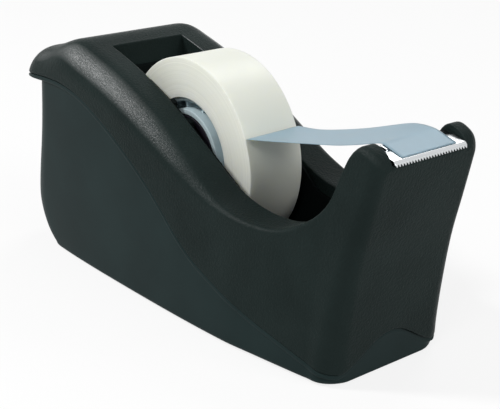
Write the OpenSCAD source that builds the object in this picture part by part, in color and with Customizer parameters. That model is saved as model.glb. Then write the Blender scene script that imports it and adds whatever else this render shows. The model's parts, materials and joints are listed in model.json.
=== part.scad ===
// Desk tape dispenser with a weighted base, for 19 mm tape on a 25 mm core.
// +X points to the cutting edge, +Z is up, and the origin is under the middle of the body.

/* [Body] */
// Thickness of the moulded walls
wall = 2.2; // [1.6:0.1:2.6]
// Half width of the opening over the roll
opening_half = 13; // [12.8:0.1:13.4]
// Width of the groove between the upper shell and the base
seam_gap = 0.6; // [0.3:0.1:1]
// How far the base wall stands in from the upper shell
base_inset = 0.7; // [0.4:0.1:1.2]
// Height of the bead along the top of the base
bead_h = 1.5; // [1:0.1:2.5]

/* [Tape] */
// Width of the tape
tape_w = 19; // [12:0.5:19]
// Outer radius of the wound roll
roll_r = 29.6; // [24:0.1:30]
// Bore radius of the tape core
core_r = 12.7; // [12.6:0.1:12.9]
// Outer radius of the tape core
core_outer_r = 17.8; // [16:0.1:19]

/* [Spool] */
// Radius of the axle stubs
axle_r = 3; // [2.5:0.1:3.2]
// Radial clearance of the stubs in their slots
axle_gap = 0.08; // [0.05:0.01:0.1]

/* [Cutter] */
// Thickness of the blade plate
blade_t = 0.5; // [0.4:0.1:0.8]
// Number of teeth
teeth = 26; // [16:1:32]

/* [Hidden] */

// Centre of the roll
roll_x = -6.5;
roll_z = 42;
drum_r = core_r - 0.2;

// Top line of the body as [x, z]: rear lip, rear slope, crest, slide to the valley, ears, front
crest_line = [[-80.8, 54], [-78.6, 59], [-73.5, 63.4], [-67.5, 66], [-59.5, 68.2], [-48, 71.6], [-39.5, 70],
    [-25, 65.7], [-15, 61.7], [-5, 57], [4.5, 51.6], [13, 46.6], [20, 42.6], [27, 39.7], [34, 38.3],
    [41, 38], [49, 39], [56, 42], [62, 46.5], [66, 52], [69.5, 60.5], [71.5, 64.6], [74, 66.4],
    [76.5, 66], [79, 64.4], [80.8, 61.5]];
// Half width at the top line, at the floor, and radius of the shoulder, as [x, value]
top_half = [[-82, 26.5], [-48, 27.3], [-10, 26.6], [25, 24.8], [45, 23.2], [60, 20.8], [70, 18.8], [81, 18]];
floor_half = [[-82, 25.5], [-48, 27], [0, 27.4], [30, 26.6], [45, 25], [60, 23.4], [70, 22.6], [81, 22.4]];
shoulder_r = [[-82, 9], [-48, 9.5], [-10, 8.5], [10, 6], [25, 2.6], [38, 1.6], [60, 1.8], [70, 2.4],
    [81, 2.6]];
// Lean of the front wall and of the rear wall of the base, as [z, x]
front_lean = [[0, 69.4], [9, 70], [20, 71.4], [35, 74], [48, 77.4], [61.5, 80.8], [70, 82.6]];
rear_lean = [[0, -65], [2, -71], [6, -76.5], [13, -80.2], [20, -80], [40, -75], [54, -72.6], [70, -71]];
// Part line between the shells as [x, z], and its arch in the front wall as [y, z]
seam_line = [[-90, 55.5], [-82, 56], [-73, 58], [-63, 59], [-54, 59.3], [-48, 59], [-39, 57.4], [-30, 53.9],
    [-21.5, 49.6], [-13.5, 44.8], [-5.5, 39.4], [2, 33.4], [9.7, 26.6], [17, 21.6], [24.5, 18.2],
    [31.7, 15.2], [43, 11.4], [50, 9.4], [57, 7.4], [64, 5.4], [70, 4], [90, 3.6]];
arch_top = 12;
arch_foot = 3.8;
arch_half = 19;
arch_x = 62;

// Levels of a body section: fractions of the wall below the shoulder, and steps round the shoulder
wall_levels = [0, 0.03, 0.07, 0.13, 0.22, 0.35, 0.5, 0.65, 0.8, 1];
shoulder_steps = 5;
corner_steps = 7;
rear_corner_r = 15;
front_corner_r = 7;
front_top_corner_r = 2.5;
front_end_x = 80.8;
rear_end_x = -80.8;

// Well round the roll
well_wall = 1;
well_half = opening_half - 0.1;
well_r = 31.3;
rail_half = 10.4;
rail_w = 10;
well_rear_x = -39.6;
well_back = well_rear_x + 0.2;
well_floor_t = 1.4;
floor_steps = 16;
floor_sweep = 118;
ramp_end_x = 71.4;
ramp = [[14, 14], [24, 15], [34, 19], [45, 25], [56, 33.5], [64, 43], [71, 58]];
ledge_drop = 1.2;

// Landing surface of the blade in the plane of symmetry, as [x, z], and the seat under it
land_rear = [73, 65.2];
land_front = [80.2, 63.3];
seat_half = opening_half - 0.2;
seat_t = 1.2;
slot_to_face = 7.4;
cross_wall = 1.8;

// Floor parts
pad_t = 1.6;
pad_corner_r = 7;
plate_t = 2;
base_foot = 0.5;
screw_r = 1.5;
screw_head_r = 2.8;
screw_head_t = 1.2;
screw_len = 10;
post_r = 2.9;
screw_gap = 0.1;
rear_post = [-56, 17];
front_post = [50, 17.6];
post_places = [for (p = [rear_post, front_post]) for (side = [-1, 1]) [p[0], side * p[1]]];

function last(list) = list[len(list) - 1];
function slope(pts, i) = let(a = max(i - 1, 0), b = min(i + 1, len(pts) - 1))
    (pts[b][1] - pts[a][1]) / (pts[b][0] - pts[a][0]);
function span_at(pts, x) = max([for (i = [0 : len(pts) - 2]) if (x >= pts[i][0] || i == 0) i]);
function hermite(p, q, mp, mq, t) = let(h = q[0] - p[0])
    (2 * t ^ 3 - 3 * t ^ 2 + 1) * p[1] + (t ^ 3 - 2 * t ^ 2 + t) * h * mp
    + (3 * t ^ 2 - 2 * t ^ 3) * q[1] + (t ^ 3 - t ^ 2) * h * mq;
// Smooth curve through points given as [x, value]
function curve(pts, x) = let(c = min(max(x, pts[0][0]), last(pts)[0]), i = span_at(pts, c))
    hermite(pts[i], pts[i + 1], slope(pts, i), slope(pts, i + 1),
            (c - pts[i][0]) / (pts[i + 1][0] - pts[i][0]));
function quarter(r, d) = d >= r ? 0 : r - sqrt(max(0, r * r - (r - d) * (r - d)));

// Stations along the top line, closer together where the body's ends turn their corners
function stations(lo, hi) = concat(
    [for (i = [0 : corner_steps - 1]) lo + rear_corner_r * (1 - cos(90 * i / corner_steps))],
    [for (i = [0 : 24]) lo + rear_corner_r + (56 - lo - rear_corner_r) * i / 24],
    [for (x = [59, 62, 64.5, 67, 69, 70.5]) x],
    [for (i = [corner_steps : -1 : 0]) hi - front_corner_r * (1 - cos(90 * i / corner_steps))]);

// One half of a section, from the floor up the wall and over the shoulder to the top
function half_section(x, inset, lo, hi, low_z, is_base) =
    let(r = max(curve(shoulder_r, x) - inset, 0.4),
        top = min(curve(crest_line, x - inset), curve(crest_line, x + inset)) - inset,
        wt = curve(top_half, x) - inset,
        wf = curve(floor_half, x) - inset,
        sh = top - r)
    concat(
        [for (f = wall_levels)
            body_point(x, wf + (wt - wf) * f, low_z + (sh - low_z) * f, lo, hi, top, is_base)],
        [for (i = [1 : shoulder_steps]) let(a = 90 * i / shoulder_steps)
            body_point(x, wt - r * (1 - cos(a)), sh + r * sin(a), lo, hi, top, is_base)]);
// A point of a section at half width y and height z, moved for the end corners and the walls' lean
function body_point(x, y, z, lo, hi, top, is_base) =
    let(front_r = front_corner_r - (front_corner_r - front_top_corner_r) * min(z / 60, 1),
        cut = max(quarter(front_r, hi - x), quarter(rear_corner_r, x - lo)),
        share = min(max((x - 30) / (hi - 30), 0), 1),
        lean = curve(front_lean, z) - curve(front_lean, top),
        back = min(max((-30 - x) / (-30 - lo), 0), 1),
        rear = is_base ? curve(rear_lean, z) - rear_end_x : 0)
    [x + share * lean + back * rear, max(y - cut, 0.5), z];
function section(x, inset, lo, hi, low_z, is_base) =
    let(h = half_section(x, inset, lo, hi, low_z, is_base))
    concat(h, [for (i = [len(h) - 1 : -1 : 0]) [h[i][0], -h[i][1], h[i][2]]]);

// Closed skin over all the sections
module body_skin(inset, low_z, is_base) {
    lo = rear_end_x + inset;
    hi = front_end_x - inset;
    rings = [for (x = stations(lo, hi)) section(x, inset, lo, hi, low_z, is_base)];
    n = len(rings[0]);
    m = len(rings);
    points = [for (ring = rings) for (p = ring) p];
    sides = [for (i = [0 : m - 2]) for (j = [0 : n - 1]) let(k = (j + 1) % n)
        each [[i * n + j, (i + 1) * n + k, i * n + k], [i * n + j, (i + 1) * n + j, (i + 1) * n + k]]];
    rear_cap = [for (j = [0 : n / 2 - 2]) each [[j, n - 2 - j, n - 1 - j], [j, j + 1, n - 2 - j]]];
    base = (m - 1) * n;
    front_cap = [for (j = [0 : n / 2 - 2])
        each [[base + j, base + n - 1 - j, base + n - 2 - j], [base + j, base + n - 2 - j, base + j + 1]]];
    polyhedron(points, concat(sides, rear_cap, front_cap), convexity = 8);
}

// Outline in the X-Z plane drawn out along Y between two values
module across(y0, y1) {
    translate([0, y1, 0]) rotate([90, 0, 0]) linear_extrude(y1 - y0) children();
}

// Everything above the part line, raised by lift
module above_seam(lift) {
    xs = [for (i = [-90 : 3 : 90]) i];
    difference() {
        across(-40, 40) polygon(concat([for (x = xs) [x, curve(seam_line, x) + lift]],
            [[90, 90], [-90, 90]]));
        translate([arch_x, 0, lift]) arch();
    }
}

// Everything below the part line, lowered by drop
module below_seam(drop) {
    xs = [for (i = [-90 : 3 : 90]) i];
    across(-40, 40) polygon(concat([[-90, -5]], [[90, -5]],
        [for (i = [len(xs) - 1 : -1 : 0]) [xs[i], curve(seam_line, xs[i]) - drop]]));
    translate([arch_x, 0, -drop]) arch();
}

// The arch that the part line makes in the front wall
module arch() {
    steps = 12;
    rotate([90, 0, 90]) linear_extrude(40) polygon(concat([[-arch_half, 0]],
        [for (i = [0 : steps]) let(y = arch_half * (2 * i / steps - 1))
            [y, arch_foot + (arch_top - arch_foot) * (0.5 + 0.5 * cos(180 * y / arch_half))]],
        [[arch_half, 0]]));
}

// Outline of the slot that the roll goes into, grown by t, up to the back of the front wall
module slot_outline(t) {
    polygon(concat([[well_rear_x - t, -5]],
        [for (z = [-5, 9, 20, 35, 48, 60]) [curve(front_lean, z) - slot_to_face + t, z]],
        [[land_rear[0] + t, 62], [land_rear[0] + t, 90], [well_rear_x - t, 90]]));
}

module upper_shell() {
    top = [0, blade_t + seat_t];
    post_foot = pad_t + plate_t + 0.1;
    color([0.12, 0.15, 0.15]) difference() {
        union() {
            intersection() {
                difference() {
                    body_skin(0, 0, false);
                    difference() {
                        body_skin(wall, -2, false);
                        across(-opening_half - cross_wall, opening_half + cross_wall)
                            slot_outline(cross_wall);
                    }
                }
                above_seam(0);
            }
            for (p = post_places) translate([p[0], p[1], post_foot])
                cylinder(r = post_r, h = curve(crest_line, p[0]) - wall / 2 - post_foot, $fn = 32);
        }
        across(-opening_half, opening_half) slot_outline(0);
        across(-opening_half, opening_half)
            polygon([land_rear - top - [4, 0], land_rear - top, land_front - top, [90, land_front[1]],
                [90, 90], [60, 90]]);
        for (p = post_places) translate([p[0], p[1], 0])
            cylinder(r = screw_r + screw_gap, h = pad_t + screw_len + 1, $fn = 24);
    }
}

// Lower body, with a bead along the part line that stands out as far as the upper shell
module base_shell() {
    color([0.17, 0.22, 0.21]) intersection() {
        difference() {
            union() {
                body_skin(base_inset, base_foot, true);
                intersection() {
                    body_skin(0.1, base_foot, false);
                    above_seam(-seam_gap - bead_h);
                }
            }
            body_skin(base_inset + wall, -2, true);
        }
        below_seam(seam_gap);
    }
}

// Floor of the well as [x, z], raised by t: rear wall, round under the roll, ramp up to the blade seat
function floor_line(t) = let(r = well_r + well_floor_t - t)
    concat([[well_back + t, roll_z]],
        [for (i = [0 : floor_steps]) let(a = 180 + floor_sweep * i / floor_steps)
            [roll_x + r * cos(a), roll_z + r * sin(a)]],
        [for (x = [18 : 6 : 66]) [x - t * 0.3, curve(ramp, x) + t]],
        [[ramp_end_x - t, 60]]);

// Side walls of the well stop a little under the opening's edge beside the roll, lower elsewhere
module rim_outline() {
    polygon(concat([[-90, -5], [90, -5]], [[90, 60], [ramp_end_x, 60]],
        [for (x = [66 : -3 : 27]) [x, curve(crest_line, x) - 4]],
        [for (x = [21 : -3 : -21]) [x, curve(crest_line, x) - ledge_drop]],
        [for (x = [-24 : -3 : -39]) [x, curve(crest_line, x) - 7]], [[-90, 64]]));
}

module tape_well() {
    color([0.08, 0.09, 0.09]) intersection() {
        difference() {
            union() {
                difference() {
                    across(-well_half, well_half) well_side();
                    across(-well_half + well_wall, well_half - well_wall) polygon(concat(
                        floor_line(well_floor_t),
                        [[ramp_end_x - well_floor_t, 95], [well_back + well_floor_t, 95]]));
                }
                for (side = [-1, 1]) axle_rail(side);
            }
            translate([roll_x, 0, roll_z]) rotate([90, 0, 0])
                cylinder(r = axle_r + axle_gap, h = 2 * (well_half - well_wall), center = true, $fn = 48);
            translate([roll_x - axle_r - axle_gap, -well_half + well_wall, roll_z])
                cube([2 * (axle_r + axle_gap), 2 * (well_half - well_wall), 60]);
        }
        across(-well_half, well_half) rim_outline();
    }
}

// Outline of the well's side walls: the floor line below, open to the rim above
module well_side() {
    polygon(concat(floor_line(0), [[ramp_end_x, 90], [well_back, 90]]));
}

// Thick strip on the well's side wall that holds one end of the axle
module axle_rail(side) {
    y0 = side > 0 ? rail_half : -well_half + well_wall - 0.5;
    y1 = side > 0 ? well_half - well_wall + 0.5 : -rail_half;
    across(y0, y1) polygon([[roll_x - rail_w / 2, roll_z - 12], [roll_x + rail_w / 2, roll_z - 12],
        [roll_x + rail_w / 2, 56], [roll_x - rail_w / 2, 60]]);
}

module blade_seat() {
    top = [0, blade_t + 0.03];
    color([0.1, 0.12, 0.12]) across(-seat_half, seat_half) polygon([land_rear - top,
        land_front - top - [0.5, 0], land_front - top - [0.7, seat_t - 0.25],
        [76.3, 62.8], [76.2, 56], [75.3, 56], [75.4, 63], land_rear - top - [0, seat_t - 0.1]]);
}

// Stamped plate: a flat landing, a lip turned down at the front, and teeth along the lip's edge
module blade_plate() {
    half = opening_half - 0.35;
    pitch = 2 * half / teeth;
    lip = land_front + [0.95, -1.3];
    lip_angle = atan2(1.3, 0.95);
    tooth_h = 0.8;
    color([0.85, 0.86, 0.88]) difference() {
        across(-half, half) polygon([land_rear, land_front, lip, lip - [blade_t, 0.1],
            land_front - [0.3, blade_t], land_rear - [0, blade_t]]);
        for (i = [0 : teeth]) translate([lip[0], -half + i * pitch, lip[1]])
            rotate([0, lip_angle, 0]) linear_extrude(2, center = true)
            polygon([[-tooth_h, 0], [tooth_h / 2, pitch * 0.7], [tooth_h / 2, -pitch * 0.7]]);
        for (side = [-1, 1]) translate([land_rear[0] + 1, side * half, 60])
            linear_extrude(8) square([3, 5], center = true);
    }
}

// A [radius, height] outline turned about the roll's axis
module turned() {
    translate([roll_x, 0, roll_z]) rotate([90, 0, 0]) rotate_extrude($fn = 72) children();
}

// Drum with its web and near axle stub, drawn as [radius, height]; height runs to -Y
module spool_drum() {
    color([0.12, 0.1, 0.14]) turned() polygon([[0, 11.7], [2.6, 11.7], [axle_r, 11.3], [axle_r, 9.7],
        [4.6, 9.7], [4.6, 7], [10.6, 7], [10.6, 9.4], [drum_r, 9.4], [drum_r, -6.4], [11.2, -6.4],
        [11.2, 5.4], [2.2, 5.4], [2.2, -4], [0, -4]]);
}

// Cap that closes the drum's open end and carries the far axle stub
module spool_cap() {
    color([0.12, 0.1, 0.14]) turned() polygon([[0, -11.7], [2.6, -11.7], [axle_r, -11.3], [axle_r, -9.7],
        [4.6, -9.7], [4.6, -8], [10.6, -8], [10.6, -9.4], [drum_r, -9.4], [drum_r, -6.5], [11.1, -6.5],
        [11.1, -3.5], [10, -3.5], [10, -6.4], [3.6, -6.4], [3.6, -1], [2.3, -1], [2.3, -4.2], [0, -4.2]]);
}

// Two rings joined by a web and ribs
module tape_core() {
    ring = 1.6;
    half = tape_w / 2 - 0.2;
    outer = core_outer_r - 0.05;
    color([0.85, 0.9, 0.92]) turned() polygon([[core_r, half], [core_r + ring, half], [core_r + ring, 0.6],
        [outer - 1.2, 0.6], [outer - 1.2, half - 1], [outer, half - 1], [outer, 1 - half],
        [outer - 1.2, 1 - half], [outer - 1.2, -0.6], [core_r + ring, -0.6], [core_r + ring, -half],
        [core_r, -half]]);
}

module tape_roll() {
    color([0.93, 0.93, 0.86]) turned() translate([core_outer_r, -tape_w / 2])
        square([roll_r - core_outer_r, tape_w]);
}

// Free end of the tape, from where it peels off the roll to the teeth
tail_line = [[21.3, 54.2], [34, 56.6], [48, 59.6], [58, 61.9], [65, 64.2], [69, 65.1], [72.8, 65.4],
    [80, 63.5]];
tail_t = 0.2;

module tape_tail() {
    xs = [for (x = [21.3, 28, 36, 44, 52, 58, 62, 65, 67, 69, 71, 72.8, 76, 80]) x];
    color([0.75, 0.8, 0.85]) across(-tape_w / 2, tape_w / 2) polygon(concat(
        [for (x = xs) [x, curve(tail_line, x)]],
        [for (i = [len(xs) - 1 : -1 : 0]) [xs[i], curve(tail_line, xs[i]) + tail_t]]));
}

module ballast_block() {
    low = pad_t + plate_t + 0.1;
    color([0.5, 0.5, 0.48]) difference() {
        union() {
            across(-20, 20) polygon([[-60, low], [-43, low], [-43, 51], [-60, 51]]);
            across(-12, 12) polygon([[-62, low], [-59, low], [-59, 51], [-66, 51], [-70, 20], [-68, 9]]);
            across(-20, 20) polygon([[-44, low], [40, low], [40, 7.8], [-44, 7.8]]);
            across(-12.4, 12.4) polygon([[38, low], [58, low], [58, 28], [54, 28], [38, 15]]);
        }
        for (p = post_places) translate([p[0], p[1], 0]) cylinder(r = post_r + 0.6, h = 80, $fn = 32);
    }
}

// Plan outline of the base's inside at floor level
function floor_outline(gap) =
    let(inset = base_inset + wall + gap, lo = rear_end_x + inset, hi = front_end_x - inset,
        half = [for (x = stations(lo, hi)) let(p = body_point(x, curve(floor_half, x) - inset, pad_t, lo, hi,
            curve(crest_line, x) - inset, true)) [p[0], p[1]]])
    concat(half, [for (i = [len(half) - 1 : -1 : 0]) [half[i][0], -half[i][1]]]);

module bottom_plate() {
    color([0.15, 0.17, 0.17]) difference() {
        translate([0, 0, pad_t]) linear_extrude(plate_t) polygon(floor_outline(0.3));
        for (p = post_places) translate([p[0], p[1], 0]) {
            cylinder(r = screw_r + screw_gap, h = 10, $fn = 24);
            cylinder(r = screw_head_r + screw_gap, h = pad_t + screw_head_t + 0.05, $fn = 32);
        }
    }
}

module case_screws() {
    color([0.6, 0.6, 0.62]) for (p = post_places) translate([p[0], p[1], pad_t + 0.05]) difference() {
        union() {
            cylinder(r = screw_head_r, h = screw_head_t, $fn = 32);
            cylinder(r = screw_r, h = screw_len, $fn = 24);
        }
        for (turn = [0, 90]) rotate([0, 0, turn]) cube([3, 0.6, 1.2], center = true);
    }
}

module non_skid_pad() {
    corners = [[54, 11, 0], [-53, 14, 90], [-53, -14, 180], [54, -11, 270]];
    color([0.05, 0.05, 0.05]) linear_extrude(pad_t) polygon([for (c = corners) for (a = [0 : 15 : 90])
        [c[0] + pad_corner_r * cos(c[2] + a), c[1] + pad_corner_r * sin(c[2] + a)]]);
}

upper_shell();
tape_well();
base_shell();
blade_plate();
blade_seat();
spool_drum();
spool_cap();
tape_core();
tape_roll();
tape_tail();
ballast_block();
bottom_plate();
case_screws();
non_skid_pad();
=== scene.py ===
"""Looks of a weighted desk tape dispenser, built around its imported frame.

Lengths in the design tables are millimetres in the frame's axes: +X to the cutting edge, +Z up.
"""
import json
import math

import bpy
import bmesh
import numpy as np
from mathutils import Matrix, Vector

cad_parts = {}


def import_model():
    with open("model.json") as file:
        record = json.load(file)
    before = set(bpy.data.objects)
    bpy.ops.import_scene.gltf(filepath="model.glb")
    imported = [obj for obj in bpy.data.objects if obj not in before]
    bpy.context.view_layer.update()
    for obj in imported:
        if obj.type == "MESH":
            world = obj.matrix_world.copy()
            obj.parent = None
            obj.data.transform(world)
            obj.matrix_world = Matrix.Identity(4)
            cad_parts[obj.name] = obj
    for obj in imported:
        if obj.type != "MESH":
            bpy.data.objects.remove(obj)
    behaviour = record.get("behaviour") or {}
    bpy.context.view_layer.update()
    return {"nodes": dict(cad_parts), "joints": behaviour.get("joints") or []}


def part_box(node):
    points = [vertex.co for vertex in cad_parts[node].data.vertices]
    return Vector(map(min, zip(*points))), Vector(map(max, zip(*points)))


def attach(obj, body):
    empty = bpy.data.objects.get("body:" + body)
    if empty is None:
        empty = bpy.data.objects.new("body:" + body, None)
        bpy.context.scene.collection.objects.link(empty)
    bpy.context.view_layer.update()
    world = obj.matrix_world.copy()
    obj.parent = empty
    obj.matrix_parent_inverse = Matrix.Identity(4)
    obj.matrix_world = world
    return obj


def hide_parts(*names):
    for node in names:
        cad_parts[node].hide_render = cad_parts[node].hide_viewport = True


MM = 0.001
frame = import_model()


# ---------------------------------------------------------------- design of the body

# Top line as [x, z]: rear lip, rear slope, crest, slide to the valley, ears, front
CREST = [[-80.8, 54], [-78.6, 59], [-73.5, 63.4], [-67.5, 66], [-59.5, 68.2], [-48, 71.6], [-39.5, 70],
         [-25, 65.7], [-15, 61.7], [-5, 57], [4.5, 51.6], [13, 46.6], [20, 42.6], [27, 39.7], [34, 38.3],
         [41, 38], [49, 39], [56, 42], [62, 46.5], [66, 52], [69.5, 60.5], [71.5, 64.6], [74, 66.4],
         [76.5, 66], [79, 64.4], [80.8, 61.5]]
# Half width at the top line, at the floor, and radius of the shoulder, as [x, value]
TOP_HALF = [[-82, 26.5], [-48, 27.3], [-10, 26.6], [25, 24.8], [45, 23.2], [60, 20.8], [70, 18.8], [81, 18]]
FLOOR_HALF = [[-82, 25.5], [-48, 27], [0, 27.4], [30, 26.6], [45, 25], [60, 23.4], [70, 22.6], [81, 22.4]]
SHOULDER_R = [[-82, 9], [-48, 9.5], [-10, 8.5], [10, 6], [25, 2.6], [38, 1.6], [60, 1.8], [70, 2.4],
              [81, 2.6]]
# Lean of the front wall and of the rear wall of the base, as [z, x]
FRONT_LEAN = [[0, 69.4], [9, 70], [20, 71.4], [35, 74], [48, 77.4], [61.5, 80.8], [70, 82.6]]
REAR_LEAN = [[0, -65], [2, -71], [6, -76.5], [13, -80.2], [20, -80], [40, -75], [54, -72.6], [70, -71]]
# Part line between the shells as [x, z]
SEAM = [[-90, 55.5], [-82, 56], [-73, 58], [-63, 59], [-54, 59.3], [-48, 59], [-39, 57.4], [-30, 53.9],
        [-21.5, 49.6], [-13.5, 44.8], [-5.5, 39.4], [2, 33.4], [9.7, 26.6], [17, 21.6], [24.5, 18.2],
        [31.7, 15.2], [43, 11.4], [50, 9.4], [57, 7.4], [64, 5.4], [70, 4], [90, 3.6]]
ARCH_TOP = 12.0
ARCH_FOOT = 3.8
ARCH_HALF = 19.0
ARCH_X = 62.0
REAR_CORNER_R = 15.0
FRONT_CORNER_R = 7.0
FRONT_TOP_CORNER_R = 2.5
BODY_REAR = -80.8
BODY_FRONT = 80.8
SLOT_REAR = -39.6
SLOT_HALF = 13.0
SLOT_EDGE_R = 0.5
SEAM_GAP = 0.6
BEAD_H = 1.5
BASE_INSET = 0.7
BASE_FOOT = 0.5
BASE_FOOT_R = 1.2
# The bead's face stands this far inside the upper shell's face
BEAD_INSET = 0.1
# Section of the bead as [share of its reach, share of its height], and the width of the lip behind it
BEAD = [(0.25, 0.0), (0.6, 0.04), (0.86, 0.14), (0.98, 0.3), (1.0, 0.5), (0.96, 0.7), (0.84, 0.86),
        (0.6, 0.97), (0.3, 1.0)]
BASE_LIP = 5.0
# The walls start to lean this far from the middle of the body
LEAN_FROM = 30.0


def curve(table, x):
    """Smooth curve through [x, value] points, with central slopes."""
    pts = np.asarray(table, float)
    n = len(pts)
    before = np.maximum(np.arange(n) - 1, 0)
    after = np.minimum(np.arange(n) + 1, n - 1)
    slope = (pts[after, 1] - pts[before, 1]) / (pts[after, 0] - pts[before, 0])
    x = np.clip(x, pts[0, 0], pts[-1, 0])
    i = np.clip(np.searchsorted(pts[:, 0], x, side="right") - 1, 0, n - 2)
    h = pts[i + 1, 0] - pts[i, 0]
    t = (x - pts[i, 0]) / h
    return ((2 * t**3 - 3 * t**2 + 1) * pts[i, 1] + (t**3 - 2 * t**2 + t) * h * slope[i]
            + (3 * t**2 - 2 * t**3) * pts[i + 1, 1] + (t**3 - t**2) * h * slope[i + 1])


def quarter(r, d):
    """How far a round corner of radius r stands in at distance d from its end."""
    inner = np.clip(r - d, 0, None)
    return r - np.sqrt(np.clip(r * r - inner * inner, 0, None))


def seam_height(x, y):
    """Height of the part line: the long curve on the sides, the arch across the front."""
    arch = ARCH_FOOT + (ARCH_TOP - ARCH_FOOT) * (0.5 + 0.5 * np.cos(np.pi * np.clip(y / ARCH_HALF, -1, 1)))
    return np.where(x > ARCH_X, np.maximum(curve(SEAM, x), arch), curve(SEAM, x))


def half_width(s, z, inset, low):
    """Half width of the body at station s and height z, before the end corners."""
    r = curve(SHOULDER_R, s) - inset
    top = curve(CREST, s) - inset
    shoulder = top - r
    wide = curve(TOP_HALF, s) - inset
    floor = curve(FLOOR_HALF, s) - inset
    wall = floor + (wide - floor) * (z - low) / (shoulder - low)
    up = np.clip(z - shoulder, 0, r)
    return np.where(z <= shoulder, wall, wide - r + np.sqrt(np.clip(r * r - up * up, 0, None)))


def corner_cut(s, z, lo, hi):
    """How far the upright end corners stand in at station s and height z."""
    front = FRONT_CORNER_R - (FRONT_CORNER_R - FRONT_TOP_CORNER_R) * np.clip(z / 60, 0, 1)
    return np.maximum(quarter(front, hi - s), quarter(REAR_CORNER_R, s - lo))


def lean_x(s, z, top, lo, hi, is_base):
    """X of a point of station s at height z, with the lean of the end walls."""
    share = np.clip((s - LEAN_FROM) / (hi - LEAN_FROM), 0, 1)
    x = s + share * (curve(FRONT_LEAN, z) - curve(FRONT_LEAN, top))
    if is_base:
        back = np.clip((-LEAN_FROM - s) / (-LEAN_FROM - lo), 0, 1)
        x = x + back * (curve(REAR_LEAN, z) - BODY_REAR)
    return x


def spread(lo, hi, n):
    """n equal steps from lo to hi."""
    return np.linspace(lo, hi, n + 1)


def turn_in(lo, r, n):
    """Stations from an end inwards, close together where a corner of radius r turns."""
    return lo + r * (1 - np.cos(np.linspace(0, np.pi / 2, n + 1)))


# ---------------------------------------------------------------- mesh building


class Skin:
    """Collects grids of points into one mesh, and welds what they share."""

    def __init__(self):
        self.points = []
        self.faces = []

    def grid(self, rows, flip=False):
        """Adds a grid of quads. rows has shape (m, n, 3), in millimetres."""
        rows = np.asarray(rows, float)
        m, n = rows.shape[:2]
        base = len(self.points)
        self.points.extend(map(tuple, rows.reshape(-1, 3)))
        for i in range(m - 1):
            for j in range(n - 1):
                a = base + i * n + j
                quad = (a, a + 1, a + n + 1, a + n)
                self.faces.append(quad[::-1] if flip else quad)

    def both_sides(self, rows, flip=False):
        """Adds a grid and its mirror image across the plane of symmetry."""
        rows = np.asarray(rows, float)
        self.grid(rows, flip)
        self.grid(rows * [1, -1, 1], not flip)

    def build(self, name, material, weld=0.02, smooth_angle=50):
        mesh = bpy.data.meshes.new(name)
        mesh.from_pydata([(x * MM, y * MM, z * MM) for x, y, z in self.points], [], self.faces)
        bm = bmesh.new()
        bm.from_mesh(mesh)
        bmesh.ops.remove_doubles(bm, verts=bm.verts, dist=weld * MM)
        bmesh.ops.dissolve_degenerate(bm, edges=bm.edges, dist=0.002 * MM)
        bm.to_mesh(mesh)
        bm.free()
        return finish_piece(name, mesh, material, smooth_angle)


def finish_piece(name, mesh, material, smooth_angle=50):
    """Makes the object, shades it smooth up to an angle, and gives it its material."""
    mesh.validate()
    for p in mesh.polygons:
        p.use_smooth = True
    mesh.set_sharp_from_angle(angle=math.radians(smooth_angle))
    obj = bpy.data.objects.new(name, mesh)
    bpy.context.scene.collection.objects.link(obj)
    mesh.materials.append(material)
    return obj


def thicken(obj, depth):
    """Gives a skin a wall of this depth in millimetres, on its inside."""
    bpy.context.view_layer.objects.active = obj
    mod = obj.modifiers.new("wall", "SOLIDIFY")
    mod.thickness = depth * MM
    mod.offset = -1
    bpy.ops.object.modifier_apply(modifier=mod.name)


def resample(line, n, bend_weight=5.0):
    """n + 1 points along a polyline, closer together where it bends."""
    step = np.diff(line, axis=0)
    length = np.linalg.norm(step, axis=1)
    keep = length > 1e-7
    line = line[np.concatenate([[True], keep])]
    step = step[keep]
    length = length[keep]
    heading = step / length[:, None]
    turn = np.zeros(len(length))
    turn[1:] = np.arccos(np.clip((heading[1:] * heading[:-1]).sum(1), -1, 1))
    soft = np.convolve(turn, np.ones(9) / 9, mode="same")
    measure = np.concatenate([[0], np.cumsum(length + bend_weight * soft)])
    wanted = np.linspace(0, measure[-1], n + 1)
    return np.stack([np.interp(wanted, measure, line[:, k]) for k in range(line.shape[1])], 1)


def section_line(s, y_from, n=400):
    """Dense outer line of the upper shell at station s, from y_from out to the part line."""
    r = float(curve(SHOULDER_R, s))
    top = float(curve(CREST, s))
    wide = float(curve(TOP_HALF, s))
    floor = float(curve(FLOOR_HALF, s))
    shoulder = top - r
    a = np.linspace(0, np.pi / 2, n)
    z_low = np.linspace(shoulder, 0, n)
    y = np.concatenate([np.linspace(0, wide - r, n), wide - r + r * np.sin(a),
                        floor + (wide - floor) * z_low / shoulder])
    z = np.concatenate([np.full(n, top), shoulder + r * np.cos(a), z_low])
    y = np.maximum(y - corner_cut(s, z, BODY_REAR, BODY_FRONT), 0)
    x = lean_x(s, z, top, BODY_REAR, BODY_FRONT, False)
    above = z - seam_height(x, y)
    end = int(np.argmax(above < 0)) if (above < 0).any() else len(z)
    line = np.stack([x, y, z], 1)[:end]
    if end < len(z):
        f = above[end - 1] / (above[end - 1] - above[end])
        edge = line[-1] + f * (np.array([x[end], y[end], z[end]]) - line[-1])
        line = np.vstack([line, edge])
    start = np.searchsorted(line[:, 1], y_from)
    if y_from > 0 and start > 0:
        f = (y_from - line[start - 1, 1]) / (line[start, 1] - line[start - 1, 1])
        first = line[start - 1] + f * (line[start] - line[start - 1])
        line = np.vstack([first, line[start:]])
    return line


# About the middle height of the body
MID_HEIGHT = 40.0


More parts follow.
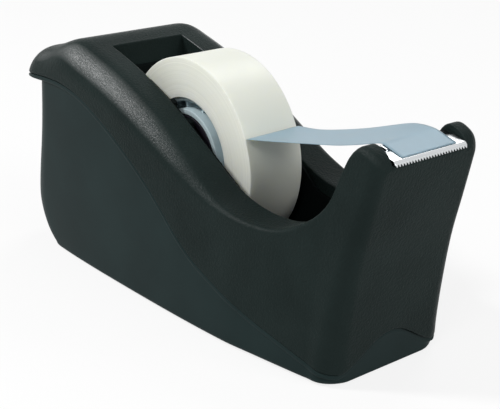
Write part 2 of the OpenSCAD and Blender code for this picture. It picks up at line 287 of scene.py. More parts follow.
def rolled_rim(rows, radius, depth, steps=4):
    """Columns that carry a grid's last column round a small edge and inwards by depth."""
    rows = np.asarray(rows, float)
    edge = rows[:, -1]
    down = edge - rows[:, -2]
    down /= np.linalg.norm(down, axis=1)[:, None]
    along = np.gradient(edge, axis=0)
    along /= np.linalg.norm(along, axis=1)[:, None] + 1e-9
    inward = np.cross(along, down)
    inward /= np.linalg.norm(inward, axis=1)[:, None] + 1e-9
    centre = np.array([0, 0, MID_HEIGHT])
    if ((centre - edge) * inward).sum() < 0:
        inward = -inward
    extra = []
    for k in range(1, steps + 1):
        a = np.pi / 2 * k / steps
        extra.append(edge + down * radius * np.sin(a) + inward * radius * (1 - np.cos(a)))
    extra.append(edge + down * radius + inward * depth)
    return np.concatenate([rows[:, :-1], edge[:, None], np.stack(extra, 1)], axis=1)


# Rim along the part line: radius of its edge, and how far it turns inwards
RIM_R = 0.5
RIM_DEPTH = 2.4
# Depths of the skirt's rows below the slot's edge, where it starts to follow the front wall, and how
# far it stands back there
SKIRT = (0.6, 2, 5, 9, 13)
SLOT_EAR = 60.0
SKIRT_SET_BACK = 0.8
# Rear lip: its least height over the part line, and the length of its corner
LIP_MIN = 0.15
REAR_TURN = 12
# Front wall: radius of its top edge, and how far that runs back under the blade
FACE_EDGE_R = 0.7
FACE_EDGE_BACK = 3.0
# Station at the foot of the ears, where the sections come closer together
EAR_FOOT = 56
# Columns of a section inside and outside the line of the slot's edge
COLS_IN = 22
COLS_OUT = 76
EDGE_STEPS = 6
FACE_COLS = 44


def slot_edge(points):
    """Rounded edge of the slot and its skirt, from the line where the flat top ends."""
    e = SLOT_EDGE_R
    cols = []
    for k in range(EDGE_STEPS + 1):
        a = np.pi / 2 * k / EDGE_STEPS
        cols.append(points + np.array([0, -e * math.sin(a), -e * (1 - math.cos(a))]))
    # Beside the blade the skirt follows the front wall's lean instead of hanging straight down
    behind = np.clip((points[:, 0] - SLOT_EAR) / (BODY_FRONT - SLOT_EAR), 0, 1)
    for d in SKIRT:
        low = points + np.array([0, -e, -e - d])
        lean = curve(FRONT_LEAN, low[:, 2]) - curve(FRONT_LEAN, points[:, 2])
        low[:, 0] += behind * (lean - SKIRT_SET_BACK * min(d, 1))
        cols.append(low)
    grid = np.stack(cols, 1)
    for k in range(EDGE_STEPS + 1):
        a = np.pi / 2 * k / EDGE_STEPS
        grid[0, k, 0] = SLOT_REAR - e * (1 - math.sin(a))
    grid[0, EDGE_STEPS + 1:, 0] = SLOT_REAR
    return grid


def front_corner_stations(hi):
    """Stations up to the front end, close together where its corner turns."""
    return hi - FRONT_CORNER_R * (1 - np.cos(np.linspace(np.pi / 2, 0, 15)))


def upper_shell(material):
    """Upper shell: shoulders, the closed top behind the slot, the slot's edge, and the front wall."""
    e = SLOT_EDGE_R
    join = SLOT_REAR - e
    # Rear end of the shell: where the top line meets the part line
    xs = np.linspace(BODY_REAR, -74, 2000)
    rear = xs[np.argmax(curve(CREST, xs) > curve(SEAM, xs) + LIP_MIN)]
    behind = np.concatenate([turn_in(rear, REAR_TURN, 16)[:-1], spread(rear + REAR_TURN, join, 24)])
    beside = np.concatenate([spread(join, EAR_FOOT, 76)[:-1],
                             spread(EAR_FOOT, BODY_FRONT - FRONT_CORNER_R, 26)[:-1],
                             front_corner_stations(BODY_FRONT)])
    skin = Skin()

    # Sides of the slot, from its edge over the shoulder down to the part line
    outer = np.stack([resample(section_line(s, SLOT_HALF + e), COLS_OUT) for s in beside])

    # Closed top behind the slot
    def split_section(s, share):
        line = section_line(s, 0)
        length = np.concatenate([[0], np.cumsum(np.linalg.norm(np.diff(line, axis=0), axis=1))])
        cut = share * length[-1]
        at = np.array([np.interp(cut, length, line[:, k]) for k in range(3)])
        i = int(np.searchsorted(length, cut))
        inner = np.vstack([line[:max(i, 1)], at])
        return np.vstack([resample(inner, COLS_IN)[:-1], resample(np.vstack([at, line[i:]]), COLS_OUT)])

    whole = section_line(join, 0)
    length = np.linalg.norm(np.diff(whole, axis=0), axis=1)
    share = (SLOT_HALF + e) / length.sum()
    top = np.stack([split_section(s, share) for s in behind])
    top[-1, COLS_IN:] = outer[0]
    full = np.concatenate([top[:, COLS_IN:], outer[1:]])
    skin.both_sides(rolled_rim(full, RIM_R, RIM_DEPTH), flip=True)
    skin.both_sides(top[:, :COLS_IN + 1], flip=True)

    # Edge and skirt along the slot's sides, mitred into its rear edge
    skin.both_sides(slot_edge(outer[:, 0]))
    z = float(outer[0, 0, 2])
    rows = []
    for k in range(EDGE_STEPS + 1):
        a = np.pi / 2 * k / EDGE_STEPS
        half = SLOT_HALF + e * (1 - math.sin(a))
        ys = top[-1, :COLS_IN + 1, 1] / (SLOT_HALF + e) * half
        rows.append(np.stack([np.full_like(ys, SLOT_REAR - e * (1 - math.sin(a))), ys,
                              np.full_like(ys, z - e * (1 - math.cos(a)))], 1))
    for d in SKIRT:
        ys = top[-1, :COLS_IN + 1, 1] / (SLOT_HALF + e) * SLOT_HALF
        rows.append(np.stack([np.full_like(ys, SLOT_REAR), ys, np.full_like(ys, z - e - d)], 1))
    skin.both_sides(rows, flip=True)

    # Front wall between the two last sections
    skin.grid(front_face(outer[-1]))
    return skin.build("upper_shell_skin", material)


def front_face(side):
    """Front wall: every level of the end section drawn across, its lower edge bent to the arch."""
    v = np.linspace(-1, 1, FACE_COLS + 1)
    z0 = side[0, 2]
    z1 = side[-1, 2]
    down = (z0 - side[:, 2]) / (z0 - z1)
    top = float(curve(CREST, BODY_FRONT))
    rows = []
    for j, g in enumerate(down):
        y = v * side[j, 1]
        low = seam_height(np.full_like(y, BODY_FRONT), v * side[-1, 1])
        z = z0 + (low - z0) * g
        rows.append(np.stack([lean_x(BODY_FRONT, z, top, BODY_REAR, BODY_FRONT, False), y, z], 1))
    rows = np.stack(rows, 1)
    rows = rolled_rim(rows, RIM_R, RIM_DEPTH)
    # Rounded top edge, running back under the blade
    first = rows[:, :1]
    back = [first + np.array([-FACE_EDGE_R * (1 - math.cos(a)), 0, FACE_EDGE_R * math.sin(a)])
            for a in np.linspace(np.pi / 2, 0, 6)[:-1]]
    flat = back[0] + np.array([-FACE_EDGE_BACK, 0, 0])
    return np.concatenate([flat] + back + [rows], axis=1)


def base_rows(stations, lo, hi, cap_v=None):
    """Sections of the base: foot, wall, and the bead that stands out to the upper shell."""
    low_levels = (1 - np.cos(np.linspace(0, np.pi / 2, 14)[1:-1])) * 0.25
    levels = np.concatenate([[0], low_levels, spread(0.25, 1, 34)])
    wall_foot = BASE_FOOT + BASE_FOOT_R
    rows = []
    for s in np.atleast_1d(stations):
        top = float(curve(CREST, s)) - BASE_INSET

        def wall(z, inset=BASE_INSET, is_base=True, v=cap_v):
            end_lo = BODY_REAR + (inset if is_base else BEAD_INSET)
            end_hi = BODY_FRONT - inset
            station = np.clip(s, end_lo, end_hi)
            y = half_width(station, z, inset, BASE_FOOT) - corner_cut(station, z, end_lo, end_hi)
            x = lean_x(station, z, top + BASE_INSET - inset, end_lo, end_hi, is_base)
            y = np.maximum(y, 0.3)
            return np.array([float(x), float(y if v is None else y * v), float(z)])

        z_end = MID_HEIGHT
        for _ in range(12):
            p = wall(z_end)
            z_end = float(seam_height(p[0], p[1])) - SEAM_GAP - BEAD_H
        z_bead = z_end + BEAD_H
        for _ in range(12):
            p = wall(z_bead, BEAD_INSET, False)
            z_bead = float(seam_height(p[0], p[1])) - SEAM_GAP
        line = []
        for k in range(4):
            a = np.pi / 2 * k / 4
            p = wall(wall_foot)
            p[2] = BASE_FOOT + BASE_FOOT_R * (1 - math.sin(np.pi / 2 - a))
            p[1] *= 1 - BASE_FOOT_R * (1 - math.sin(a)) / max(abs(p[1]), 4)
            line.append(p)
        for f in levels:
            line.append(wall(wall_foot + (z_end - wall_foot) * f))
        inner = wall(z_end)
        outer = wall(z_bead - 0.5 * BEAD_H, BEAD_INSET, False)
        reach = outer - inner
        for out, up in BEAD:
            p = inner + reach * np.array([out, out, 0])
            p[2] = z_end + (z_bead - BEAD_H - z_end) * out + BEAD_H * up
            line.append(p)
        lip = inner - np.array([np.clip(inner[0], -BASE_LIP, BASE_LIP),
                                np.clip(inner[1], -BASE_LIP, BASE_LIP), 0])
        lip[2] = z_end + BEAD_H
        line.append(lip)
        rows.append(np.array(line))
    return np.stack(rows)


def base_shell(material):
    """Base shell: both sides in one run of sections, and an end wall at the rear and at the front."""
    lo = BODY_REAR + BASE_INSET
    hi = BODY_FRONT - BASE_INSET
    stations = np.concatenate([turn_in(lo, REAR_CORNER_R, 22)[:-1],
                               spread(lo + REAR_CORNER_R, EAR_FOOT, 80)[:-1],
                               spread(EAR_FOOT, hi - FRONT_CORNER_R, 12)[:-1], front_corner_stations(hi)])
    skin = Skin()
    skin.both_sides(base_rows(stations, lo, hi), flip=False)
    across = np.linspace(-1, 1, 37)
    skin.grid(np.stack([base_rows(lo, lo, hi, v)[0] for v in across]), flip=False)
    skin.grid(np.stack([base_rows(hi, lo, hi, v)[0] for v in across]), flip=True)
    return skin.build("base_shell_skin", material)


# ---------------------------------------------------------------- turned and folded pieces

# Axis of the roll, in metres: where the spool's hinge is
AXIS = Vector(frame["joints"][1]["pos_m"])


def rounded(outline, r, steps=3):
    """Rounds the corners of a closed [radius, side] outline by about r."""
    pts = [np.asarray(p, float) for p in outline]
    out = []
    for i, p in enumerate(pts):
        a = pts[i - 1] - p
        b = pts[(i + 1) % len(pts)] - p
        cut = min(r, np.linalg.norm(a) * 0.45, np.linalg.norm(b) * 0.45)
        start = p + a / np.linalg.norm(a) * cut
        end = p + b / np.linalg.norm(b) * cut
        for k in range(steps + 1):
            t = k / steps
            out.append((1 - t) ** 2 * start + 2 * t * (1 - t) * p + t ** 2 * end)
    return out


def lathe(name, outline, material, turns=128, smooth_angle=40):
    """Turns a closed outline of [radius, side] about the roll's axis. side runs along +Y."""
    n = len(outline)
    points = []
    for i in range(turns):
        a = 2 * math.pi * i / turns
        for r, side in outline:
            points.append((AXIS.x + r * MM * math.cos(a), side * MM, AXIS.z + r * MM * math.sin(a)))
    faces = []
    for i in range(turns):
        for j in range(n):
            a, b = i * n + j, i * n + (j + 1) % n
            c, d = ((i + 1) % turns) * n + (j + 1) % n, ((i + 1) % turns) * n + j
            faces.append((a, b, c, d))
    mesh = bpy.data.meshes.new(name)
    mesh.from_pydata(points, [], faces)
    bm = bmesh.new()
    bm.from_mesh(mesh)
    bmesh.ops.remove_doubles(bm, verts=bm.verts, dist=1e-6)
    bmesh.ops.recalc_face_normals(bm, faces=bm.faces)
    bm.to_mesh(mesh)
    bm.free()
    return finish_piece(name, mesh, material, smooth_angle)


def tape_roll(material):
    """Wound tape: flat sides with faint uneven turns, and crisp rolled edges."""
    lo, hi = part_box("tape_roll")
    r_out = (hi[0] - lo[0]) / 2 / MM
    half = hi[1] / MM
    r_in = 17.85
    rng = np.random.default_rng(3)
    radii = np.linspace(r_in, r_out, 30)
    ripple = rng.normal(0, 0.02, len(radii))
    near = [(r, -half + 0.03 + abs(w)) for r, w in zip(radii, ripple)]
    far = [(r, half - 0.03 - abs(w)) for r, w in zip(radii[::-1], ripple)]
    near[-1] = (r_out - 0.12, -half + 0.02)
    far[0] = (r_out - 0.12, half - 0.02)
    outline = near + [(r_out - 0.02, -half + 0.12), (r_out, -half + 0.4), (r_out - 0.03, 0),
                      (r_out, half - 0.4), (r_out - 0.02, half - 0.12)] + far
    return lathe("tape_roll_wound", outline, material, turns=192, smooth_angle=60)


def tape_core(material):
    """Moulded core: an inner ring, a thin web and an outer ring."""
    outline = rounded([(12.7, -9.3), (14.3, -9.3), (14.3, -0.6), (16.5, -0.6), (16.5, -8.3), (17.75, -8.3),
                       (17.75, 8.3), (16.5, 8.3), (16.5, 0.6), (14.3, 0.6), (14.3, 9.3), (12.7, 9.3)], 0.3)
    return lathe("tape_core_rings", outline, material)


def core_ribs(material):
    """Thin radial ribs that tie the core's two rings together."""
    count = 12
    skin = Skin()
    for i in range(count):
        a = 2 * math.pi * (i + 0.5) / count
        for s in (-1, 1):
            add_rib(skin, a, 14.2, 16.6, s * 0.6, s * 6.6, 0.35)
    return skin.build("tape_core_ribs", material)


def add_rib(skin, angle, r0, r1, side0, side1, half):
    """A small closed wall between two radii, along the axis from side0 to side1."""
    radial = np.array([math.cos(angle), 0, math.sin(angle)])
    tangent = np.array([-math.sin(angle), 0, math.cos(angle)])
    centre = np.array([AXIS.x, 0, AXIS.z]) / MM
    ring = [(r0, -half), (r1, -half), (r1, half), (r0, half), (r0, -half)]
    rows = [[centre + radial * r + tangent * t + np.array([0, y, 0]) for r, t in ring]
            for y in (side0, side1)]
    skin.grid(rows, flip=side1 < side0)
    lid = [[rows[1][0], rows[1][1]], [rows[1][3], rows[1][2]]]
    skin.grid(lid, flip=side1 < side0)


def spool(material):
    """Drum and cap, each with its stub of the axle."""
    drum = rounded([(0.02, -11.7), (2.6, -11.7), (3, -11.3), (3, -9.7), (4.6, -9.7), (4.6, -7), (10.6, -7),
                    (10.6, -9.4), (12.5, -9.4), (12.5, 6.4), (11.2, 6.4), (11.2, -5.4), (2.2, -5.4),
                    (2.2, 4), (0.02, 4)], 0.25)
    cap = rounded([(0.02, 11.7), (2.6, 11.7), (3, 11.3), (3, 9.7), (4.6, 9.7), (4.6, 8), (10.6, 8),
                   (10.6, 9.4), (12.5, 9.4), (12.5, 6.5), (11.1, 6.5), (11.1, 3.5), (10, 3.5), (10, 6.4),
                   (3.6, 6.4), (3.6, 1), (2.3, 1), (2.3, 4.2), (0.02, 4.2)], 0.25)
    return lathe("spool_drum_body", drum, material), lathe("spool_cap_body", cap, material)


def spool_ribs(material):
    """Ribs on the drum's near web, from the axle stub to the rim."""
    count = 6
    skin = Skin()
    for i in range(count):
        add_rib(skin, 2 * math.pi * i / count + 0.3, 4.4, 10.8, -6.9, -8.6, 0.6)
    return skin.build("spool_drum_ribs", material)


# Landing of the blade in the plane of symmetry, as [x, z]
LAND_REAR = np.array([73.0, 65.2])
LAND_FRONT = np.array([80.2, 63.3])
SHEET_T = 0.4
TEETH = 26
# Width of the notch in each rear corner, and how many rows of the profile it cuts
NOTCH_W = 2.6
NOTCH_ROWS = 8
# Direction of the lip below the landing, as [x, z]
LIP_DIR = np.array([0.59, -0.807])


def blade_plate(material):
    """Stamped plate: curled rear edge, a pressed groove, the landing, and a toothed lip."""
    _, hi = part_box("blade_plate")
    half = hi[1] / MM
    fall = (LAND_FRONT - LAND_REAR) / np.linalg.norm(LAND_FRONT - LAND_REAR)
    up = np.array([-fall[1], fall[0]])
    length = np.linalg.norm(LAND_FRONT - LAND_REAR)

    def at(u, h=0.0):
        return LAND_REAR + fall * u + up * h

    profile = [at(0.0, -0.42), at(0.02, -0.2), at(0.14, -0.05), at(0.35, 0), at(1.2, 0), at(2.0, 0),
               at(2.3, -0.03), at(2.45, -0.16), at(2.6, -0.2), at(2.95, -0.2), at(3.1, -0.16),
               at(3.25, -0.03), at(3.5, 0), at(4.6, 0), at(5.8, 0), at(length - 0.7, 0),
               at(length - 0.35), at(length - 0.1, -0.05), LAND_FRONT + LIP_DIR * 0.2,
               LAND_FRONT + LIP_DIR * 0.8]
    root = LAND_FRONT + LIP_DIR * 0.85
    tip = LAND_FRONT + LIP_DIR * 1.6
    cols = 2 * TEETH
    ys = np.linspace(-half, half, cols + 1)
    points = []
    index = {}
    for j in range(len(profile) + 1):
        for i, y in enumerate(ys):
            if j < len(profile):
                x, z = profile[j]
            else:
                x, z = tip if i % 2 else root
            index[i, j] = len(points)
            points.append((x * MM, y * MM, z * MM))
    faces = []
    for j in range(len(profile)):
        for i in range(cols):
            mid = abs(ys[i] + ys[i + 1]) / 2
            if mid > half - NOTCH_W and j < NOTCH_ROWS:
                continue
            faces.append((index[i, j], index[i + 1, j], index[i + 1, j + 1], index[i, j + 1])[::-1])
    mesh = bpy.data.meshes.new("blade_plate_stamped")
    mesh.from_pydata(points, [], faces)
    bm = bmesh.new()
    bm.from_mesh(mesh)
    bmesh.ops.delete(bm, geom=[v for v in bm.verts if not v.link_faces], context="VERTS")
    bmesh.ops.recalc_face_normals(bm, faces=bm.faces)
    if sum(f.normal.z for f in bm.faces) < 0:
        bmesh.ops.reverse_faces(bm, faces=bm.faces)
    bm.to_mesh(mesh)
    bm.free()
    obj = finish_piece("blade_plate_stamped", mesh, material, 35)
    thicken(obj, SHEET_T)
    bpy.context.view_layer.objects.active = obj
    mod = obj.modifiers.new("edges", "BEVEL")
    mod.width = 0.06 * MM
    mod.segments = 2
    mod.limit_method = "ANGLE"
    mod.angle_limit = math.radians(50)
    bpy.ops.object.modifier_apply(modifier=mod.name)
    return obj


# Free end of the tape at its near and far edges, as [x, z]
TAIL_NEAR = [[21.3, 54.0], [30, 55.6], [40, 57.6], [50, 59.6], [58, 61.3], [65, 63.2], [69, 64.4],
             [73, 65.42], [76, 64.7], [79.9, 63.55]]
TAIL_FAR = [[21.3, 54.3], [30, 55.3], [40, 57.6], [50, 60.4], [58, 63.0], [63, 64.6], [66, 65.35],
            [69.5, 65.7], [73, 65.55], [76, 64.75], [79.9, 63.6]]
TAIL_START = 21.3
TAIL_END = 79.9
TAIL_T = 0.12
TAIL_BOW = 0.35


def tape_tail(material):
    """The strip from the roll to the blade, slightly twisted, over the landing."""
    _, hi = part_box("tape_tail")
    half = hi[1] / MM
    xs = np.concatenate([spread(TAIL_START, 60, 40)[:-1], spread(60, TAIL_END, 40)])
    v = np.linspace(-1, 1, 25)
    rows = []
    for x in xs:
        near, far = float(curve(TAIL_NEAR, x)), float(curve(TAIL_FAR, x))
        f = (v + 1) / 2
        z = near + (far - near) * f ** 1.3
        # The strip bows a little between its edges where nothing holds it flat
        bow = TAIL_BOW * (1 - v * v) * math.sin(math.pi * min(max((x - TAIL_START) / 52, 0), 1))
        rows.append(np.stack([np.full_like(v, x), v * half, z - bow], 1))
    skin = Skin()
    skin.grid(rows, flip=True)
    obj = skin.build("tape_tail_strip", material)
    thicken(obj, TAIL_T)
    return obj


# ---------------------------------------------------------------- materials


def new_material(name):
    """A material, its node tree, and its shader."""
    mat = bpy.data.materials.new(name)
    mat.use_nodes = True
    tree = mat.node_tree
    return mat, tree, tree.nodes["Principled BSDF"]


def noise(tree, scale, detail=2.0, rough=0.5):
    """Noise in object space. scale is cycles per metre."""
    coord = tree.nodes.new("ShaderNodeTexCoord")
    made = tree.nodes.new("ShaderNodeTexNoise")
    made.inputs["Scale"].default_value = scale
    made.inputs["Detail"].default_value = detail
    made.inputs["Roughness"].default_value = rough
    tree.links.new(coord.outputs["Object"], made.inputs["Vector"])
    return made


def ramp(tree, source, low, high):
    """A colour between low and high, from a noise's value."""
    made = tree.nodes.new("ShaderNodeValToRGB")
    made.color_ramp.elements[0].position = 0.3
    made.color_ramp.elements[1].position = 0.7
    made.color_ramp.elements[0].color = (*low, 1)
    made.color_ramp.elements[1].color = (*high, 1)
    tree.links.new(source, made.inputs["Fac"])
    return made.outputs["Color"]


def remap(tree, source, lo, hi):
    """A value between lo and hi, from one between 0 and 1."""
    made = tree.nodes.new("ShaderNodeMapRange")
    made.inputs["To Min"].default_value = lo
    made.inputs["To Max"].default_value = hi
    tree.links.new(source, made.inputs["Value"])
    return made.outputs["Result"]


def bump(tree, bsdf, source, strength, distance):
    made = tree.nodes.new("ShaderNodeBump")
    made.inputs["Strength"].default_value = strength
    made.inputs["Distance"].default_value = distance
    tree.links.new(source, made.inputs["Height"])
    tree.links.new(made.outputs["Normal"], bsdf.inputs["Normal"])


def painted_shoulder_sheen(tree, lo, hi):
    """A painted highlight: a shine level that goes from lo on flat tops and walls to hi along the rounded
    shoulders.

    It is tuned to give the shoulder its highlight, and is strongest on the rear half of the body.
    """
    geometry = tree.nodes.new("ShaderNodeNewGeometry")
    parts = tree.nodes.new("ShaderNodeSeparateXYZ")
    tree.links.new(geometry.outputs["Normal"], parts.inputs[0])
    side = tree.nodes.new("ShaderNodeMath")
    side.operation = "ABSOLUTE"
    tree.links.new(parts.outputs["Y"], side.inputs[0])
    both = tree.nodes.new("ShaderNodeMath")
    both.operation = "MULTIPLY"
    tree.links.new(side.outputs[0], both.inputs[0])
    tree.links.new(parts.outputs["Z"], both.inputs[1])
    # Less at the rear corner, where the surface also turns away along the length
    rear = tree.nodes.new("ShaderNodeMath")
    rear.operation = "MULTIPLY_ADD"
    rear.inputs[1].default_value = 0.35
    rear.use_clamp = True
    tree.links.new(parts.outputs["X"], rear.inputs[0])
    tree.links.new(both.outputs[0], rear.inputs[2])
    made = tree.nodes.new("ShaderNodeMapRange")
    made.interpolation_type = "SMOOTHSTEP"
    made.inputs["From Min"].default_value = 0.36
    made.inputs["From Max"].default_value = 0.56
    made.inputs["To Min"].default_value = lo
    tree.links.new(rear.outputs[0], made.inputs["Value"])
    # The painted highlight is full up to the first X, and little from the second one on, in the valley
    place = tree.nodes.new("ShaderNodeTexCoord")
    along = tree.nodes.new("ShaderNodeSeparateXYZ")
    tree.links.new(place.outputs["Object"], along.inputs[0])
    sheen_reach = tree.nodes.new("ShaderNodeMapRange")
    sheen_reach.inputs["From Min"].default_value = -0.030
    sheen_reach.inputs["From Max"].default_value = 0.012
    sheen_reach.inputs["To Min"].default_value = hi
    sheen_reach.inputs["To Max"].default_value = hi * 0.12
    tree.links.new(along.outputs["X"], sheen_reach.inputs["Value"])
    tree.links.new(sheen_reach.outputs["Result"], made.inputs["To Max"])
    return made.outputs["Result"]


def textured_plastic(name, color, rough, grain, depth, specular, shoulder_sheen=None):
    """Moulded black plastic with a grained texture; the last argument is the shine painted along its
    shoulders, a painted highlight.
    """
    mat, tree, bsdf = new_material(name)
    fine = noise(tree, grain, 3.0, 0.6)
    broad = noise(tree, 60.0, 2.0)
    dark = tuple(c * 0.88 for c in color)
    light = tuple(c * 1.12 for c in color)
    tree.links.new(ramp(tree, broad.outputs["Fac"], dark, light), bsdf.inputs["Base Color"])
    tree.links.new(remap(tree, broad.outputs["Fac"], rough - 0.04, rough + 0.04), bsdf.inputs["Roughness"])
    bsdf.inputs["Specular IOR Level"].default_value = specular
    # The shoulders' highlight is painted in by raising their shine level where they turn
    if shoulder_sheen:
        tree.links.new(painted_shoulder_sheen(tree, specular, shoulder_sheen), bsdf.inputs["Specular IOR Level"])
    bump(tree, bsdf, fine.outputs["Fac"], 1.0, depth)
    return mat


def frosted_tape(name, color, subsurface):
    """Wound matte tape: soft and slightly translucent, with faint turns on its sides."""
    mat, tree, bsdf = new_material(name)
    coord = tree.nodes.new("ShaderNodeTexCoord")
    shift = tree.nodes.new("ShaderNodeVectorMath")
    shift.operation = "SUBTRACT"
    shift.inputs[1].default_value = AXIS
    tree.links.new(coord.outputs["Object"], shift.inputs[0])
    flat = tree.nodes.new("ShaderNodeVectorMath")
    flat.operation = "MULTIPLY"
    flat.inputs[1].default_value = (1, 0, 1)
    tree.links.new(shift.outputs[0], flat.inputs[0])
    radius = tree.nodes.new("ShaderNodeVectorMath")
    radius.operation = "LENGTH"
    tree.links.new(flat.outputs[0], radius.inputs[0])
    turns = tree.nodes.new("ShaderNodeTexNoise")
    turns.noise_dimensions = "1D"
    turns.inputs["Scale"].default_value = 2600.0
    turns.inputs["Detail"].default_value = 2.0
    tree.links.new(radius.outputs["Value"], turns.inputs["W"])
    dark = tuple(c * 0.94 for c in color)
    tree.links.new(ramp(tree, turns.outputs["Fac"], dark, color), bsdf.inputs["Base Color"])
    mottled = noise(tree, 220.0, 2.0)
    tree.links.new(remap(tree, mottled.outputs["Fac"], 0.34, 0.46), bsdf.inputs["Roughness"])
    bsdf.inputs["Subsurface Weight"].default_value = subsurface
    bsdf.inputs["Subsurface Radius"].default_value = (1.0, 0.95, 0.7)
    bsdf.inputs["Subsurface Scale"].default_value = 0.004
    bsdf.inputs["Specular IOR Level"].default_value = 0.35
    bump(tree, bsdf, turns.outputs["Fac"], 0.25, 0.00004)
    return mat


def clear_plastic(name, color, rough, transmission):
    """Plastic that lets some light through, slightly clouded."""
    mat, tree, bsdf = new_material(name)
    cloud = noise(tree, 150.0, 2.0)
    dark = tuple(c * 0.92 for c in color)
    tree.links.new(ramp(tree, cloud.outputs["Fac"], dark, color), bsdf.inputs["Base Color"])
    tree.links.new(remap(tree, cloud.outputs["Fac"], rough - 0.05, rough + 0.06), bsdf.inputs["Roughness"])
    bsdf.inputs["Transmission Weight"].default_value = transmission
    bsdf.inputs["IOR"].default_value = 1.45
    bump(tree, bsdf, cloud.outputs["Fac"], 0.15, 0.0001)
    return mat


def bright_metal(name, color, rough, brushed=False):
    """Plated metal, with fine drawing lines along the blade's width if it is brushed."""
    mat, tree, bsdf = new_material(name)
    coord = tree.nodes.new("ShaderNodeTexCoord")
    stretch = tree.nodes.new("ShaderNodeMapping")
    stretch.inputs["Scale"].default_value = (2500, 60, 2500) if brushed else (400, 400, 400)
    tree.links.new(coord.outputs["Object"], stretch.inputs["Vector"])
    lines = tree.nodes.new("ShaderNodeTexNoise")
    lines.inputs["Scale"].default_value = 1.0
    lines.inputs["Detail"].default_value = 3.0
    tree.links.new(stretch.outputs["Vector"], lines.inputs["Vector"])
    dark = tuple(c * 0.9 for c in color)
    tree.links.new(ramp(tree, lines.outputs["Fac"], dark, color), bsdf.inputs["Base Color"])
    tree.links.new(remap(tree, lines.outputs["Fac"], rough - 0.05, rough + 0.08), bsdf.inputs["Roughness"])
    bsdf.inputs["Metallic"].default_value = 1.0
    bump(tree, bsdf, lines.outputs["Fac"], 0.1, 0.00002)
    return mat


def cast_weight(name, color):
    """Coarse and dull, as sand casting or foam."""
    mat, tree, bsdf = new_material(name)
    sand = noise(tree, 900.0, 4.0, 0.7)
    dark = tuple(c * 0.6 for c in color)
    tree.links.new(ramp(tree, sand.outputs["Fac"], dark, color), bsdf.inputs["Base Color"])
    tree.links.new(remap(tree, sand.outputs["Fac"], 0.75, 0.95), bsdf.inputs["Roughness"])
    bump(tree, bsdf, sand.outputs["Fac"], 0.6, 0.0004)
    return mat


# The shell's last value is the shine painted along its shoulders, a painted highlight
shell_mat = textured_plastic("textured_black", (0.0145, 0.0225, 0.0215), 0.31, 1600.0, 0.00028, 0.02, 0.62)
base_mat = textured_plastic("satin_green_black", (0.0150, 0.0262, 0.0262), 0.45, 900.0, 0.00001, 0.04)
well_mat = textured_plastic("matte_black", (0.004, 0.006, 0.006), 0.65, 2200.0, 0.00004, 0.03)
spool_mat = textured_plastic("spool_black", (0.012, 0.010, 0.016), 0.45, 1500.0, 0.00002, 0.15)
core_mat = clear_plastic("core_natural", (0.66, 0.80, 0.84), 0.35, 0.25)
tape_mat = frosted_tape("tape_frosty", (0.83, 0.85, 0.77), 0.35)
tail_mat = clear_plastic("tape_single", (0.33, 0.48, 0.57), 0.4, 0.30)
blade_mat = bright_metal("nickel", (0.62, 0.64, 0.65), 0.22, brushed=True)
screw_mat = bright_metal("zinc", (0.62, 0.62, 0.64), 0.35)
ballast_mat = cast_weight("cast_grey", (0.3, 0.29, 0.27))
pad_mat = cast_weight("foam_black", (0.02, 0.02, 0.02))


# ---------------------------------------------------------------- put it together


def carry(piece, body, nodes):
    """Puts a piece on its body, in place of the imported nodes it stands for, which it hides."""
    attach(piece, body)
    if nodes:
        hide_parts(*nodes)


def reuse(name, material):
    """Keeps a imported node's own mesh and gives it a finished material."""
    obj = frame["nodes"][name]
    if not obj.material_slots:
        obj.data.materials.append(material)
    for s in obj.material_slots:
        s.material = material


carry(upper_shell(shell_mat), "root", ["upper_shell"])
carry(base_shell(base_mat), "root", ["base_shell"])
carry(blade_plate(blade_mat), "root", ["blade_plate"])
carry(tape_tail(tail_mat), "tape_end", ["tape_tail"])
carry(tape_roll(tape_mat), "spool", ["tape_roll"])
carry(tape_core(core_mat), "spool", ["tape_core"])
carry(core_ribs(core_mat), "spool", [])
drum_piece, cap_piece = spool(spool_mat)
carry(drum_piece, "spool", ["spool_drum"])
carry(cap_piece, "spool", ["spool_cap"])
carry(spool_ribs(spool_mat), "spool", [])
for name, material in {"tape_well": well_mat, "blade_seat": well_mat, "ballast_block": ballast_mat,
                       "bottom_plate": well_mat, "case_screws": screw_mat, "non_skid_pad": pad_mat}.items():
    reuse(name, material)


# ---------------------------------------------------------------- stage, lights, camera


def seen_directly(tree):
    """1 for what the camera, mirrors and clear plastic see, and 0 for what only lights the object."""
    path = tree.nodes.new("ShaderNodeLightPath")
    seen = tree.nodes.new("ShaderNodeMath")
    seen.operation = "MAXIMUM"
    tree.links.new(path.outputs["Is Camera Ray"], seen.inputs[0])
    tree.links.new(path.outputs["Is Transmission Ray"], seen.inputs[1])
    shiny = tree.nodes.new("ShaderNodeMath")
    shiny.operation = "MAXIMUM"
    tree.links.new(seen.outputs[0], shiny.inputs[0])
    tree.links.new(path.outputs["Is Glossy Ray"], shiny.inputs[1])
    return shiny.outputs[0]


def mixed(tree, fac, first, second, out):
    """Joins two shaders by a factor, and sends them to the output."""
    mix = tree.nodes.new("ShaderNodeMixShader")
    tree.links.new(fac, mix.inputs["Fac"])
    tree.links.new(first.outputs[0], mix.inputs[1])
    tree.links.new(second.outputs[0], mix.inputs[2])
    tree.links.new(mix.outputs[0], out.inputs["Surface"])


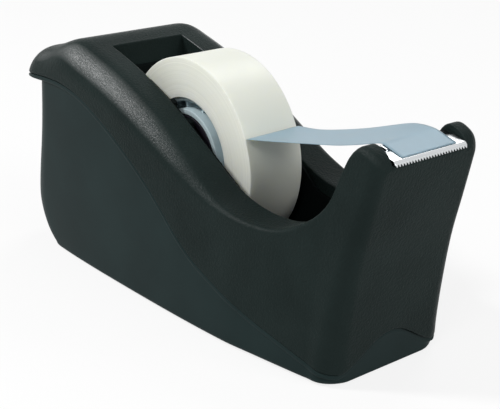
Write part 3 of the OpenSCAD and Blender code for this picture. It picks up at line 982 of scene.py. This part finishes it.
def stage_white(name, shadow_share):
    """White floor, which keeps shadow_share of the object's shadow."""
    mat = bpy.data.materials.new(name)
    mat.use_nodes = True
    tree = mat.node_tree
    tree.nodes.clear()
    out = tree.nodes.new("ShaderNodeOutputMaterial")
    diffuse = tree.nodes.new("ShaderNodeBsdfDiffuse")
    diffuse.inputs["Color"].default_value = (0.95, 0.95, 0.95, 1)
    glow = tree.nodes.new("ShaderNodeEmission")
    glow.inputs["Color"].default_value = (1, 1, 1, 1)
    glow.inputs["Strength"].default_value = 1.0
    share = tree.nodes.new("ShaderNodeMath")
    share.operation = "MULTIPLY"
    share.inputs[1].default_value = 1 - shadow_share
    tree.links.new(seen_directly(tree), share.inputs[0])
    mixed(tree, share.outputs[0], diffuse, glow, out)
    return mat


FLOOR_R = 3.0
SHADOW_SHARE = 0.18
SKY_LEVEL = 0.18


def floor():
    """Round white floor under the object."""
    bm = bmesh.new()
    bmesh.ops.create_circle(bm, cap_ends=True, radius=FLOOR_R, segments=96)
    mesh = bpy.data.meshes.new("floor")
    bm.to_mesh(mesh)
    bm.free()
    mesh.materials.append(stage_white("floor_white", SHADOW_SHARE))
    obj = bpy.data.objects.new("floor", mesh)
    bpy.context.scene.collection.objects.link(obj)


def lamp(name, place, aim, size, power):
    """Square lamp at a place in metres, turned to what it lights."""
    light = bpy.data.lights.new(name, "AREA")
    light.shape = "RECTANGLE"
    light.size = size
    light.size_y = size
    light.energy = power
    obj = bpy.data.objects.new(name, light)
    bpy.context.scene.collection.objects.link(obj)
    obj.location = place
    obj.rotation_euler = (Vector(aim) - Vector(place)).to_track_quat("-Z", "Y").to_euler()


def world():
    """White where the camera, mirrors and clear plastic see it, a soft grey as a light source."""
    sky = bpy.data.worlds.new("studio")
    bpy.context.scene.world = sky
    sky.use_nodes = True
    tree = sky.node_tree
    tree.nodes.clear()
    out = tree.nodes.new("ShaderNodeOutputWorld")
    soft = tree.nodes.new("ShaderNodeBackground")
    soft.inputs["Color"].default_value = (1, 1, 1, 1)
    soft.inputs["Strength"].default_value = SKY_LEVEL
    white = tree.nodes.new("ShaderNodeBackground")
    white.inputs["Color"].default_value = (1, 1, 1, 1)
    white.inputs["Strength"].default_value = 1.0
    mixed(tree, seen_directly(tree), soft, white, out)


# Viewing angle: degrees round from the -Y side and above the floor, then the camera's place and lens
VIEW_AZIMUTH = 50.94
VIEW_ELEVATION = 20.45
CAMERA_AT = Vector((259.7, -201.7, 149.0)) * MM
LENS = 83.66
SENSOR = 36.0


def camera():
    """Camera at the viewing angle, looking along it."""
    az, el = math.radians(VIEW_AZIMUTH), math.radians(VIEW_ELEVATION)
    back = Vector((math.sin(az) * math.cos(el), -math.cos(az) * math.cos(el), math.sin(el)))
    data = bpy.data.cameras.new("view")
    data.lens = LENS
    data.sensor_width = SENSOR
    data.clip_start = 0.01
    obj = bpy.data.objects.new("view", data)
    bpy.context.scene.collection.objects.link(obj)
    obj.location = CAMERA_AT
    obj.rotation_euler = (-back).to_track_quat("-Z", "Y").to_euler()
    bpy.context.scene.camera = obj


floor()
world()
middle = (0, 0, 0.035)
lamp("key", (0.42, -0.75, 0.85), middle, 0.5, 3.4)
lamp("front", (0.90, 0.20, 0.55), middle, 0.5, 3.6)
lamp("edge", (-0.52, -0.65, 0.88), middle, 0.16, 8.0)
lamp("behind", (-0.31, 0.71, 0.92), middle, 0.4, 2.6)
camera()
bpy.context.scene.view_settings.view_transform = "Standard"
